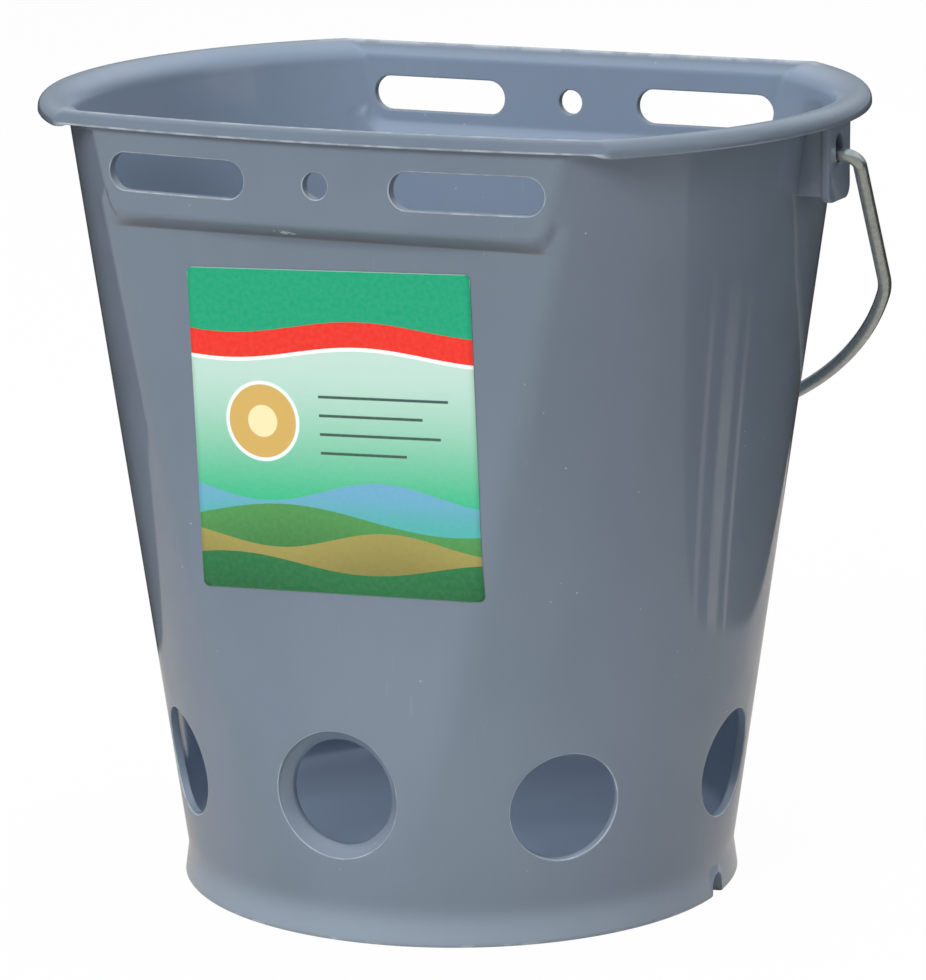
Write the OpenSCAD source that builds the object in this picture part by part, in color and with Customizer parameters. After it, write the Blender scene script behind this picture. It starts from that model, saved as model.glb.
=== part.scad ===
/* [Body] */
// Height from the ground to the top of the rim
bucket_h = 265; // [240:1:300]
// Outside diameter of the cone, carried down to the ground
cone_low_d = 181.6; // [170:0.2:195]
// Outside diameter of the cone, carried up to the rim
cone_top_d = 254.2; // [240:0.2:270]
// Distance between the front and the back flat, outside
flat_gap = 189; // [180:1:200]
// Wall thickness
wall_t = 3; // [2:0.1:3.6]

/* [Foot] */
// Height of the floor's upper face
floor_z = 15; // [12:0.5:20]
// Thickness of the floor
floor_t = 3; // [2:0.1:4]
// Outside diameter of the foot ring at the ground
foot_d = 187; // [184:0.2:192]
// Height of the waist, where the foot ring starts to flare
waist_z = 10; // [6:0.5:12]
// Width of each drain notch in the foot ring
notch_w = 8; // [4:0.5:12]
// Height of each drain notch
notch_h = 7.5; // [5:0.5:9]

/* [Rim] */
// How far the rolled rim stands out from the top of the cone
rim_out = 9; // [8.2:0.1:11]
// Radius of the flare under the rolled rim
flare_r = 5; // [3:0.5:6]
// Radius of the rim's rolled edge
roll_r = 4; // [3:0.25:4]
// Height of the rolled rim's outer edge
rim_drop = 5.5; // [4.5:0.5:7]
// How far the lip of the hanging panels stands out from the panel
lip_out = 3; // [2:0.25:4]
// Height of the lip on the hanging panels
lip_h = 5.5; // [4.5:0.5:7]
// Thickness of the lip's outer edge
lip_edge_t = 1.5; // [1:0.25:2.5]

/* [Hanging panels] */
// How far the middle of the bowed front panel stands out from its flat
front_out = 9; // [6:0.5:9]
// Radius of the front panel's bow, seen from above
bow_r = 500; // [450:10:900]
// How far the straight back panel stands out from its flat
back_out = 3.5; // [2:0.25:3.5]
// Drop from the top of the rim to a panel's lower edge
panel_drop = 34; // [30:1:39]
// Drop of the slanted shoulder under a panel
shoulder_drop = 4; // [2:0.5:6]
// Distance between the two slot centres
slot_pitch = 100; // [94:1:100]
// Length of a slot, end to end
slot_l = 50; // [40:1:50]
// Height of a slot
slot_h = 12; // [8:0.5:14]
// Drop from the top of the rim to the slots and the hole between them
slot_drop = 18; // [15:0.5:21]
// Diameter of the hole between the slots
hang_hole_d = 8.5; // [5:0.5:12]

/* [Outlets] */
// Height of the four plain outlets
outlet_z = 46; // [42:0.5:55]
// Diameter of the four plain outlets
outlet_d = 36.5; // [30:0.5:38]
// Angle between neighbouring outlets
outlet_step = 45; // [43:0.5:46]
// Height of the front outlet
front_outlet_z = 49; // [45:0.5:60]
// Bore of the front outlet
front_outlet_d = 35; // [30:0.5:36]
// Mouth of the front outlet's dished seat
seat_d = 42; // [40:0.5:44]
// Depth of the dished seat
seat_depth = 4; // [2:0.25:5]
// Length of the front outlet's bore behind the seat
seat_land = 2.5; // [1.5:0.25:4]

/* [Ears] */
// How far an ear's outer face lies inside the outer edge of the rim
ear_inset = 2.1; // [1:0.1:3]
// Thickness of an ear plate
ear_t = 2.8; // [2:0.1:3.5]
// Width of an ear plate
ear_w = 19.4; // [16:0.2:24]
// Drop from the top of the rim to an ear plate's lower edge
ear_drop = 30; // [25:0.5:35]
// Radius of an ear plate's lower corners
ear_corner_r = 4; // [2:0.5:6]
// Setback of the ear's side webs from the plate's edges and lower end
web_inset = 2; // [1:0.25:3]
// Thickness of an ear's side webs
web_t = 2.4; // [1.8:0.1:3]
// Width of the oval bail hole
eye_w = 6.5; // [5.5:0.1:8]
// Height of the oval bail hole
eye_h = 9.5; // [8.5:0.1:12]
// Drop from the top of the rim to the middle of the bail hole
eye_drop = 13.2; // [12.5:0.1:15]

/* [Bail] */
// Diameter of the bail wire
wire_d = 4.5; // [3.5:0.1:5]
// Lean of the two straight arms towards each other, in degrees
arm_lean = 5; // [2:0.5:5]
// How much the bow's radius exceeds half the distance between the arms
bow_bulge = 4.2; // [3:0.1:6]
// How far the centre of the bow hangs below the pivot
bow_drop = 14.2; // [12:0.2:24]
// Radius of the two shoulders, to the wire's centre line
shoulder_r = 30; // [10:1:40]
// Radius of the bend beside each ear, to the wire's centre line
hook_r = 4.5; // [3.5:0.25:5]
// How far each wire end reaches in behind its ear plate
hook_in = 3.2; // [2:0.1:4]

/* [Label] */
// Width of the label
label_w = 98.4; // [80:0.2:100]
// Height of the label
label_h = 103.4; // [80:0.2:110]
// Corner radius of the label
label_r = 4; // [1:0.5:8]
// Thickness of the label
label_t = 0.3; // [0.1:0.05:0.5]
// Sideways place of the label's middle
label_x = 1.2; // [-4:0.2:3]
// Drop from the top of the rim to the label's middle
label_drop = 97.6; // [94:0.2:104]
// Tilt of the label on the flat, in degrees
label_tilt = 2.2; // [-3:0.1:3]

/* [Clearances] */
// Gap between the wire and the bottom of its hole
eye_gap = 0.3; // [0.2:0.05:0.6]
// Gap between the raised bail and the rim
rim_gap = 0.35; // [0.3:0.05:2]
// Gap between the hanging bail and the wall
rest_gap = 0.5; // [0.4:0.05:1]

/* [Hidden] */
$fn = 96;
// Overlap that joins two solids of one moulding, and overshoot of a cut
eps = 0.5;
wire_r = wire_d / 2;
flat_y = flat_gap / 2;
front_y = flat_y + front_out;
back_y = flat_y + back_out;
rim_r = cone_top_d / 2 + rim_out;
ear_x = rim_r - ear_inset;
// Heights above the ground of what hangs from the rim
panel_z = bucket_h - panel_drop;
slot_z = bucket_h - slot_drop;
ear_z = bucket_h - ear_drop;
eye_z = bucket_h - eye_drop;
label_z = bucket_h - label_drop;
// Slope of the cone, in radius for each unit of height
cone_slope = (cone_top_d - cone_low_d) / 2 / bucket_h;
function cone_r(z) = cone_low_d / 2 + cone_slope * z;
// Height where the wall turns out into the flare
flare_z = bucket_h - flare_r - wall_t;
flare_c = cone_r(flare_z) + flare_r;
// Straight run between the two circles of a round-ended hole
slot_run = slot_l - slot_h;
eye_run = eye_h - eye_w;
pivot_z = eye_z - eye_run / 2 - eye_w / 2 + wire_r + eye_gap;
// A raised arm leans in over the rim, so it starts further out
arm_x = rim_r + rim_gap + wire_r + (bucket_h - pivot_z - hook_r) * tan(arm_lean);
bail_r = arm_x + bow_bulge;
bail_reach = bow_drop + bail_r;
hook_x = ear_x - ear_t - hook_in;
// Points of the bail lie in a plane through its pivot, X across and Y down in that plane
hook_end = [arm_x - hook_r + hook_r * cos(arm_lean), hook_r + hook_r * sin(arm_lean)];
arm_way = [-sin(arm_lean), cos(arm_lean)];
shoulder_in = shoulder_r * [cos(arm_lean), sin(arm_lean)];
// From the bow's centre to the shoulder's, for an arm of no length
shoulder_start = hook_end - shoulder_in - [0, bow_drop];
shoulder_run = shoulder_start * arm_way;
shoulder_gap = pow(bail_r - shoulder_r, 2) - shoulder_start * shoulder_start;
arm_l = sqrt(pow(shoulder_run, 2) + shoulder_gap) - shoulder_run;
shoulder_c = shoulder_start + arm_l * arm_way;
shoulder_angle = atan2(shoulder_c[1], shoulder_c[0]);
// Swelling of the wire where its bends meet, and how far the joined ends stop short inside it
bead = 0.05;
bead_gap = 0.1;
// The hanging bail leans on the two edges of the back flat
rest_y = flat_y + wire_r + rest_gap;
function edge_x(z) = sqrt(pow(cone_r(z), 2) - pow(flat_y, 2));
function bow_reach(x) = bow_drop + sqrt(pow(bail_r, 2) - pow(x, 2));
function reach_at_edge(reach, rounds) = rounds == 0
  ? reach
  : reach_at_edge(bow_reach(edge_x(pivot_z - sqrt(pow(reach, 2) - pow(rest_y, 2)))), rounds - 1);
// Rounds that settle where the bow crosses those edges
rest_rounds = 6;
rest_angle = asin(rest_y / reach_at_edge(bail_reach, rest_rounds));

// Frustum of the body's cone, grown or shrunk by an offset, between two heights
module cone_between(z0, z1, offset = 0) {
  translate([0, 0, z0])
    cylinder(h = z1 - z0, r1 = cone_r(z0) + offset, r2 = cone_r(z1) + offset);
}

// Slab between the two flats, grown or shrunk by an offset
module between_flats(z0, z1, offset = 0) {
  half = flat_y + offset;
  translate([-rim_r, -half, z0])
    cube([2 * rim_r, 2 * half, z1 - z0]);
}

// Space between the bowed front panel and the straight back panel, grown or shrunk by an offset
module between_panels(z0, z1, offset = 0) {
  translate([0, 0, z0])
    linear_extrude(height = z1 - z0)
      intersection() {
        translate([0, bow_r - front_y])
          circle(bow_r + offset);
        translate([-rim_r, -rim_r])
          square([2 * rim_r, rim_r + back_y + offset]);
      }
}

// Side section of the two panels with their slanted shoulders, which run on past the panels' faces
module panel_section(offset) {
  half = flat_y + offset;
  low = panel_z - shoulder_drop - offset;
  high = low + 2 * shoulder_drop;
  polygon([
    [-half - 2 * front_out, high],
    [-half, low],
    [half, low],
    [half + 2 * back_out, high],
    [half + 2 * back_out, bucket_h],
    [-half - 2 * front_out, bucket_h]
  ]);
}

// Both panels' forms, through the bucket, grown or shrunk by an offset
module panel_form(offset) {
  intersection() {
    along_x(2 * rim_r)
      panel_section(offset);
    between_panels(0, bucket_h, offset);
  }
}

// Body without its hollow, or the hollow itself with a negative offset
module body_form(z0, z1, offset = 0) {
  intersection() {
    cone_between(z0, z1, offset);
    union() {
      between_flats(z0, z1, offset);
      panel_form(offset);
    }
  }
}

module foot_form() {
  cylinder(h = waist_z, r1 = foot_d / 2, r2 = cone_r(waist_z));
}

// Extrudes a side section, drawn in Y and Z, along X
module along_x(length) {
  rotate([90, 0, 90])
    linear_extrude(height = length, center = true)
      children();
}

// Extrudes a front outline, drawn in X and Z, from one Y to another
module along_y(y0, y1) {
  translate([0, y1, 0])
    rotate([90, 0, 0])
      linear_extrude(height = y1 - y0)
        children();
}

// Walls of both panels beside the rolled rim
module panel_walls() {
  intersection() {
    difference() {
      between_panels(flare_z, bucket_h);
      between_panels(flare_z - eps, bucket_h + eps, -wall_t);
    }
    cylinder(h = bucket_h, r = flare_c);
  }
}

// Section of the lip along the top of a panel, drawn outwards from the panel's face
module lip_section() {
  polygon([
    [-wall_t / 2, bucket_h - lip_h],
    [-wall_t / 2, bucket_h],
    [0, bucket_h],
    [lip_out, bucket_h - lip_h / 2],
    [lip_out, bucket_h - lip_h],
    [lip_out - lip_edge_t, bucket_h - lip_h],
    [0, bucket_h - lip_h / 2]
  ]);
}

// Lips of both panels, cut to the round rim at their ends
module panel_lips() {
  intersection() {
    union() {
      translate([0, bow_r - front_y, 0])
        rotate_extrude()
          translate([bow_r, 0])
            lip_section();
      translate([0, back_y, 0])
        along_x(2 * rim_r)
          lip_section();
    }
    translate([0, 0, bucket_h - lip_h])
      cylinder(h = lip_h, r = rim_r);
  }
}

// Section of the rolled rim: the wall flares out, runs level and rolls down
module rim_section() {
  // flare
  intersection() {
    difference() {
      translate([flare_c, flare_z])
        circle(flare_r + wall_t);
      translate([flare_c, flare_z])
        circle(flare_r);
    }
    translate([flare_c - flare_r - wall_t, flare_z - eps])
      square([flare_r + wall_t, flare_r + wall_t + eps]);
  }
  // level run
  translate([flare_c - eps, bucket_h - wall_t])
    square([rim_r - roll_r - flare_c + 2 * eps, wall_t]);
  // roll
  translate([rim_r - roll_r, bucket_h - roll_r])
    intersection() {
      circle(roll_r);
      square(roll_r);
    }
  translate([rim_r - wall_t, bucket_h - rim_drop])
    square([wall_t, rim_drop - roll_r]);
}

// Hollow inside the flare of the round ends
module mouth_form() {
  intersection() {
    rotate_extrude()
      difference() {
        translate([0, flare_z])
          square([flare_c, bucket_h - flare_z + eps]);
        translate([flare_c, flare_z])
          circle(flare_r + wall_t);
      }
    between_panels(flare_z, bucket_h + eps, -wall_t);
  }
}

// Rolled rim over the two round ends, which stop at the lips of the panels
module rim() {
  intersection() {
    rotate_extrude()
      rim_section();
    between_panels(flare_z - eps, bucket_h + eps, lip_out);
  }
}

// Round-ended hole, drawn lying along X
module round_slot(run, height) {
  square([run, height], center = true);
  for (side = [-1, 1])
    translate([side * run / 2, 0])
      circle(height / 2);
}

// Plate and box of one ear, at +X
module ear() {
  top = bucket_h - wall_t;
  half = ear_w / 2;
  r = ear_corner_r;
  // plate
  translate([ear_x - ear_t / 2, 0, 0])
    along_x(ear_t) {
      translate([-half, ear_z + r])
        square([ear_w, top - ear_z - r]);
      translate([-half + r, ear_z])
        square([ear_w - 2 * r, r + eps]);
      for (side = [-1, 1])
        translate([side * (half - r), ear_z + r])
          circle(r);
    }
  // box
  web_z = ear_z + web_inset;
  root_x = cone_r(web_z) - wall_t;
  translate([root_x, -half + web_inset, web_z])
    cube([ear_x - ear_t - root_x, ear_w - 2 * web_inset, top - web_z]);
}

// Hollow of one ear's box, open below, and the oval bail hole
module ear_cut() {
  pocket_w = ear_w - 2 * (web_inset + web_t);
  difference() {
    translate([0, -pocket_w / 2, ear_z])
      cube([ear_x - ear_t, pocket_w, flare_z - ear_z]);
    cone_between(0, bucket_h);
  }
  translate([ear_x, 0, eye_z])
    rotate([0, 90, 0])
      linear_extrude(height = 2 * (ear_t + eps), center = true)
        round_slot(eye_run, eye_w);
}

// Slots and hole through both hanging panels
module hanging_cuts() {
  reach = front_y + lip_out;
  for (face = [0, 1])
    along_y(face ? flat_y - wall_t : -reach, face ? reach : wall_t - flat_y) {
      for (side = [-1, 1])
        translate([side * slot_pitch / 2, slot_z])
          round_slot(slot_run, slot_h);
      translate([0, slot_z])
        circle(hang_hole_d / 2);
    }
}

// Thick ring behind the front outlet
module front_seat() {
  translate([0, -flat_y, front_outlet_z])
    rotate([-90, 0, 0])
      cylinder(h = seat_depth + seat_land, r = seat_d / 2 + wall_t);
}

module front_outlet_cut() {
  seat_slope = (seat_d - front_outlet_d) / 2 / seat_depth;
  translate([0, -flat_y - eps, front_outlet_z])
    rotate([-90, 0, 0]) {
      cylinder(h = seat_depth + eps, r1 = seat_d / 2 + eps * seat_slope, r2 = front_outlet_d / 2);
      cylinder(h = seat_depth + seat_land + 2 * eps, r = front_outlet_d / 2);
    }
}

// Plain outlets to both sides of the front one, each square to the wall
module side_outlet_cuts() {
  for (turn = [-2, -1, 1, 2])
    rotate([0, 0, turn * outlet_step])
      translate([0, -cone_r(outlet_z), outlet_z])
        rotate([90 + atan(cone_slope), 0, 0])
          cylinder(h = outlet_d, r = outlet_d / 2, center = true);
}

module notch_cuts() {
  arch_r = notch_w / 2;
  along_x(2 * rim_r) {
    translate([-arch_r, -eps])
      square([notch_w, notch_h - arch_r + eps]);
    translate([0, notch_h - arch_r])
      circle(arch_r);
  }
}

module bucket() {
  color([0.40, 0.46, 0.53])
    difference() {
      union() {
        foot_form();
        body_form(waist_z, flare_z + eps);
        panel_walls();
        panel_lips();
        rim();
        for (side = [0, 1])
          mirror([side, 0, 0])
            ear();
      }
      difference() {
        union() {
          body_form(floor_z, flare_z + eps, -wall_t);
          mouth_form();
        }
        intersection() {
          front_seat();
          body_form(floor_z, bucket_h);
        }
      }
      // hollow under the floor
      translate([0, 0, -eps])
        cylinder(h = floor_z - floor_t + eps, r = cone_r(waist_z) - wall_t);
      notch_cuts();
      hanging_cuts();
      front_outlet_cut();
      side_outlet_cuts();
      for (side = [0, 1])
        mirror([side, 0, 0])
          ear_cut();
    }
}

// Bend of the wire about a point of the bail's plane, between two angles below X
module wire_bend(centre, radius, from_angle, to_angle) {
  translate([centre[0], 0, -centre[1]])
    rotate([90, 0, 0])
      rotate_extrude(angle = to_angle - from_angle, start = -to_angle)
        translate([radius, 0])
          circle(wire_r);
}

module wire_bead(at) {
  translate([at[0], 0, -at[1]])
    sphere(wire_r + bead);
}

// One end of the bail, drawn with its pivot on X and its reach along -Z
module bail_end() {
  // end in the ear
  translate([hook_x, 0, 0])
    rotate([0, 90, 0])
      cylinder(h = arm_x - hook_r - hook_x - bead_gap, r = wire_r);
  wire_bead([arm_x - hook_r, 0]);
  wire_bend([arm_x - hook_r, hook_r], hook_r, -90, arm_lean);
  wire_bead(hook_end);
  // arm
  translate([hook_end[0], 0, -hook_end[1]])
    rotate([0, 180 + arm_lean, 0])
      translate([0, 0, bead_gap])
        cylinder(h = arm_l - 2 * bead_gap, r = wire_r);
  wire_bead(hook_end + arm_l * arm_way);
  // shoulder
  wire_bend(shoulder_c + [0, bow_drop], shoulder_r, arm_lean, shoulder_angle);
  wire_bead([bail_r * cos(shoulder_angle), bow_drop + bail_r * sin(shoulder_angle)]);
}

module bail() {
  bow_end = shoulder_angle + bead_gap;
  color([0.62, 0.64, 0.63])
    translate([0, 0, pivot_z])
      rotate([rest_angle, 0, 0]) {
        for (side = [0, 1])
          mirror([side, 0, 0])
            bail_end();
        wire_bend([0, bow_drop], bail_r, bow_end, 180 - bow_end);
      }
}

module label() {
  color([0.16, 0.70, 0.48])
    translate([label_x, -flat_y, label_z])
      rotate([90, 0, 0])
        rotate([0, 0, label_tilt])
          linear_extrude(height = label_t) {
            square([label_w - 2 * label_r, label_h], center = true);
            square([label_w, label_h - 2 * label_r], center = true);
            for (sx = [-1, 1], sy = [-1, 1])
              translate([sx * (label_w / 2 - label_r), sy * (label_h / 2 - label_r)])
                circle(label_r);
          }
}

bucket();
bail();
label();
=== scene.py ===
import bpy
import numpy as np
from mathutils import Matrix


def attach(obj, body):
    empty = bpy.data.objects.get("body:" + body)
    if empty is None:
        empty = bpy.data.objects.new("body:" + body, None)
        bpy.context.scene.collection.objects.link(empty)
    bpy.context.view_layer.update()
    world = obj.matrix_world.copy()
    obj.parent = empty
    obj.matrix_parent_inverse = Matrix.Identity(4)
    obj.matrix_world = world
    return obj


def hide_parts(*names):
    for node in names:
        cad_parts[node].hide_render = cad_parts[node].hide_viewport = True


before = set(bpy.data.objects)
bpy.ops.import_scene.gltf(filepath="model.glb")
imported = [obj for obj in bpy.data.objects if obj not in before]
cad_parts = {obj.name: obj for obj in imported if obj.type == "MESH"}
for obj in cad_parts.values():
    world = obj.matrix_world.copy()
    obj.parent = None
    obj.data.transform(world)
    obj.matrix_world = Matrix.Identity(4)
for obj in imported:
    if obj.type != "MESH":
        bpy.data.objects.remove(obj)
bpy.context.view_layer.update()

MM = 0.001

# Sizes in millimetres, most of them those of the part's source.
# Cone: outside radius at the ground, its growth with height, and the lean of its wall
CONE_FOOT, CONE_SLOPE = 90.8, 36.3 / 265
LEAN = np.arctan(CONE_SLOPE)
# Wall: thickness, distances of the flats and of both panels from the middle plane, radius of the front panel's bow
WALL, FLAT, FRONT, BACK, BOW = 3.0, 94.5, 103.5, 98.0, 500.0
# Foot: radius at the ground, height of the waist, width of its blend, inside radius of the skirt
FOOT_RADIUS, WAIST, WAIST_BLEND, SKIRT = 93.5, 10.0, 0.9, 89.17
# Floor: its two faces, and the radius and the place of the fillet round the upper one
FLOOR, UNDER_FLOOR, FLOOR_FILLET, FILLET_AT = 15.0, 12.0, 4, 86.4
# Columns of the grid: height from which they keep their x, and half the width of the front and back ones at the rim
SPREAD_TOP, ZONE = 222.0, 104.0
# Blends of the cone with the flats, panels and lips, and the rise over which the first becomes the second
CREASE, PANEL_CREASE, LIP_CREASE, CREASE_RISE = 4.0, 2.0, 1.1, 3
# Panels: lower line, height of the slope above it, share of that which is rounded, half width, corner radius
PANEL_LOW, PANEL_SLOPE, SLOPE_ROUND, PANEL_HALF, PANEL_CORNER = 228.9, 4.6, 0.4, 77.0, 8.0
# Plain outlets: height, radius, round of the edge, polar angles
OUTLET_Z, OUTLET_R, OUTLET_EDGE, OUTLETS = 46.0, 18.25, 0.5, (-45, -135, 0, 180)
# Front outlet: height, radius of the dish, round of its edge, radius of the ring behind, and where that meets the wall
SEAT_Z, SEAT_R, SEAT_EDGE, SEAT_RING, SEAT_FOOT = 49.0, 21.0, 0.4, 24.0, 25.4
# Its section as radius and depth behind the flat: down the dish, through the bore, round the ring and onto the wall
SEAT_SECTION = (
    (20.2, 1.2), (18.6, 3.0), (17.75, 3.85), (17.5, 4.3), (17.5, 5.4), (17.5, 6.2), (17.7, 6.5),
    (19, 6.5), (22.6, 6.5), (23.6, 6.4), (24, 6), (24, 4.2), (24.3, 3.4), (25, 3.1))
# Slots and holes: height, place and half run of the slots, radii, round of the edge, swell of the wall at the front
SLOT_Z, SLOT_X, SLOT_RUN, SLOT_R, HOLE_R, SLOT_EDGE, SLOT_SWELL = 247.0, 50.0, 19.0, 6.0, 4.25, 0.45, 1.0
# Drain notches: half width, height of the straight sides
NOTCH_HALF, NOTCH_SIDE = 4.0, 3.5
# Rim, by row of its section: how far its outer edge and its crest are painted pale as highlight lines, and the row
# where the inside starts
EDGE_HIGHLIGHT, CREST_HIGHLIGHT, INSIDE_ROW = {12: 0.7, 13: 1.0, 14: 0.7}, {22: 0.3, 23: 0.9, 24: 1.0, 25: 0.5}, 24
# Bail: height of its pivot, and its angle at rest
PIVOT_Z, REST = 249.6, np.radians(41.5537)


# ---------------------------------------------------------------- plain maths

def ramp(x):
    """Smooth step: 3x^2 - 2x^3 on 0 to 1, level outside."""
    x = np.clip(x, 0.0, 1.0)
    return x * x * (3 - 2 * x)


def mix(a, b, t):
    """Straight mix of a and b: a at t = 0, b at t = 1."""
    return a + (b - a) * t


def soft_min(a, b, k):
    """Lower of a and b, with a parabola of width k rounding the corner where they cross."""
    h = np.clip(0.5 + 0.5 * (b - a) / k, 0, 1)
    return mix(b, a, h) - k * h * (1 - h) / 2


def arc(cx, cy, r, angles):
    """Points of a circle about a centre at some angles."""
    return np.stack([cx + r * np.cos(angles), cy + r * np.sin(angles)], 1)


def at_height(xy, z):
    """Ring of x and y lifted to one height."""
    return np.column_stack([xy, np.full(len(xy), z)])


def cone(z):
    """Outside radius of the body's cone at height z."""
    return CONE_FOOT + CONE_SLOPE * z


def body_radius(z):
    """Outside radius at height z: the cone, or the foot that flares out under the waist, softly joined."""
    foot = FOOT_RADIUS - (FOOT_RADIUS - cone(WAIST)) / WAIST * z
    return -soft_min(-cone(z), -foot, WAIST_BLEND)


def spread(z):
    """Scale of the front columns' x at height z: with the cone's radius below the panels, 1 beside them."""
    return np.minimum(1, cone(z) / cone(SPREAD_TOP))


def panel_face(x, inset, side):
    """Distance of a panel from the middle plane: the front one (side -1) bowed, the back one (side 1) straight."""
    if side > 0:
        return BACK - inset + 0 * x
    return np.sqrt((BOW - inset) ** 2 - x ** 2) - (BOW - FRONT)


def wall_depth(x, z, inset, side):
    """Distance of the front or back wall from the middle plane at x and z, on the skin inset from the outer one.

    The flat steps out to the panel over a slope with a soft upper edge, whose lower line lifts in an
    arc near the panel's ends, and the softened lower of that and the round cone is the wall.
    """
    reach = np.clip(np.abs(x) - (PANEL_HALF - PANEL_CORNER), 0, PANEL_CORNER)
    low = PANEL_LOW + inset + PANEL_CORNER - np.sqrt(PANEL_CORNER ** 2 - reach ** 2)
    t = np.maximum((z - low) / PANEL_SLOPE, 0)
    flat = FLAT - inset
    plane = flat + (panel_face(x, inset, side) - flat) * soft_min(t, 1.0, SLOPE_ROUND)
    round_y = np.sqrt(np.maximum((body_radius(z) - inset) ** 2 - x ** 2, 1))
    return soft_min(round_y, plane, mix(CREASE, PANEL_CREASE, ramp((z - low) / CREASE_RISE)))


# ---------------------------------------------------------------- meshes

class Shell:
    """Points and quads of one piece, gathered as arrays."""

    def __init__(self):
        self.points, self.quads, self.marks, self.count = [], [], [], 0

    def add(self, points, cut=0.0, inner=0.0):
        """Adds points, marked by how far they lie on a cut edge, which also carries the rim's painted highlight lines,
        and on the inner skin, and returns their numbers.
        """
        points = np.asarray(points, float).reshape(-1, 3)
        numbers = np.arange(self.count, self.count + len(points))
        self.points.append(points)
        self.marks.append(np.stack([np.broadcast_to(mark, len(points)) for mark in (cut, inner)], 1))
        self.count += len(points)
        return numbers

    def at(self, numbers):
        """Places of points by number."""
        return np.concatenate(self.points)[numbers]

    def bridge(self, low, high):
        """Quads between two closed rings of equal count."""
        self.quads.append(np.stack([low, np.roll(low, -1), np.roll(high, -1), high], -1).reshape(-1, 4))

    def loft(self, rings):
        """Bridges each ring to the next."""
        for low, high in zip(rings[:-1], rings[1:]):
            self.bridge(low, high)

    def close(self, ring, pole, last):
        """Fans a ring to one pole point; last says that the pole comes after the ring."""
        following = np.roll(ring, -1)
        tip = np.full(len(ring), pole)
        self.quads.append(np.stack([ring, following, tip, tip] if last else [following, ring, tip, tip], -1))

    def mesh(self, name):
        """Mesh in metres of the points in use; a fan's quad with a doubled corner becomes a triangle."""
        points, quads = np.concatenate(self.points), np.concatenate(self.quads)
        used, flat = np.unique(quads, return_inverse=True)
        quads = flat.reshape(-1, 4)
        tri = quads[:, 2] == quads[:, 3]
        loops = np.concatenate([quads[~tri].ravel(), quads[tri][:, :3].ravel()])
        sizes = np.concatenate([np.full((~tri).sum(), 4), np.full(tri.sum(), 3)])
        mesh = bpy.data.meshes.new(name)
        mesh.vertices.add(len(used))
        mesh.vertices.foreach_set("co", (points[used] * MM).astype(np.float32).ravel())
        mesh.loops.add(len(loops))
        mesh.loops.foreach_set("vertex_index", loops.astype(np.int32))
        mesh.polygons.add(len(sizes))
        mesh.polygons.foreach_set("loop_start", np.concatenate([[0], np.cumsum(sizes)[:-1]]).astype(np.int32))
        mesh.polygons.foreach_set("use_smooth", np.ones(len(sizes), bool))
        mesh.update(calc_edges=True)
        for mark, values in zip(("cut_edge_and_highlight", "inner_skin"), np.concatenate(self.marks)[used].astype(np.float32).T):
            mesh.attributes.new(mark, "FLOAT", "POINT").data.foreach_set("value", np.ascontiguousarray(values))
        mesh.validate()
        return mesh


def piece(name, mesh, finish, body, node=None):
    """Object of a mesh at the origin, with its finish, that rides on a body."""
    made = bpy.data.objects.new(name, mesh)
    bpy.context.scene.collection.objects.link(made)
    made.data.materials.append(finish)
    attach(made, body)
    if node:
        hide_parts(node)


# ---------------------------------------------------------------- bucket

def front_columns():
    """x of the front columns at the rim: even steps, with close ones over the creases and the lip's corners."""
    past_hole, crease_start, crease_end = 20, 71, 98
    half = np.concatenate([
        np.linspace(0, past_hole, 12), np.linspace(past_hole, crease_start, 26)[1:],
        np.linspace(crease_start, crease_end, 35)[1:], np.linspace(crease_end, ZONE, 5)[1:]])
    return np.concatenate([-half[:0:-1], half])


def round_columns():
    """Fractions of the round ends' angle: even steps, with close ones at the sides of the drain notch."""
    swing = np.arccos(spread(0) * ZONE / FOOT_RADIUS)
    notch = np.array([0, 0.9, 1.8, 2.7, 3.4, 3.8, 3.96, 4.04, 4.6])
    close = np.arcsin(notch / FOOT_RADIUS) / swing
    even = np.linspace(close[-1], 1, 34)[1:-1]
    half = np.concatenate([close, even])
    return np.concatenate([-half[:0:-1], half])


FRONT_X, ROUND_T = front_columns(), round_columns()


def around(radius, y_of_x, scale):
    """One ring round the bucket, as x and y.

    The front columns lie at x = scale * column and y = -y_of_x(x, -1), and the back columns, in the
    other direction, at y = y_of_x(x, 1). The round columns share out the angle left between front and back.
    """
    x = scale * FRONT_X
    end = arc(0, 0, radius, np.arccos(scale * ZONE / radius) * ROUND_T)
    return np.concatenate([np.stack([x, -y_of_x(x, -1)], 1), end, np.stack([-x, y_of_x(-x, 1)], 1), -end])


def wall_ring(z, inset):
    """Ring of the outer or inner skin at height z."""
    return at_height(around(body_radius(z) - inset, lambda x, side: wall_depth(x, z, inset, side), spread(z)), z)


def round_ring(radius, z, scale_z):
    """Plain circle at height z, in the columns of height scale_z."""
    scale = spread(scale_z) * min(1, radius / SKIRT)
    return at_height(around(radius, lambda x, side: np.sqrt(radius ** 2 - x ** 2), scale), z)


def notched(ring):
    """Lifts a ring of the skirt over the drain notches at both sides.

    The notch's roof is a half circle on straight sides; what lies between the ground and the waist
    is squeezed up over it.
    """
    y = ring[:, 1] * FOOT_RADIUS / np.hypot(ring[:, 0], ring[:, 1])
    roof = NOTCH_SIDE + np.sqrt(np.maximum(NOTCH_HALF ** 2 - y ** 2, 0))
    lift = np.where(np.abs(y) < NOTCH_HALF, roof, 0)
    ring[:, 2] += lift * np.clip(1 - ring[:, 2] / WAIST, 0, 1)
    return ring


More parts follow.
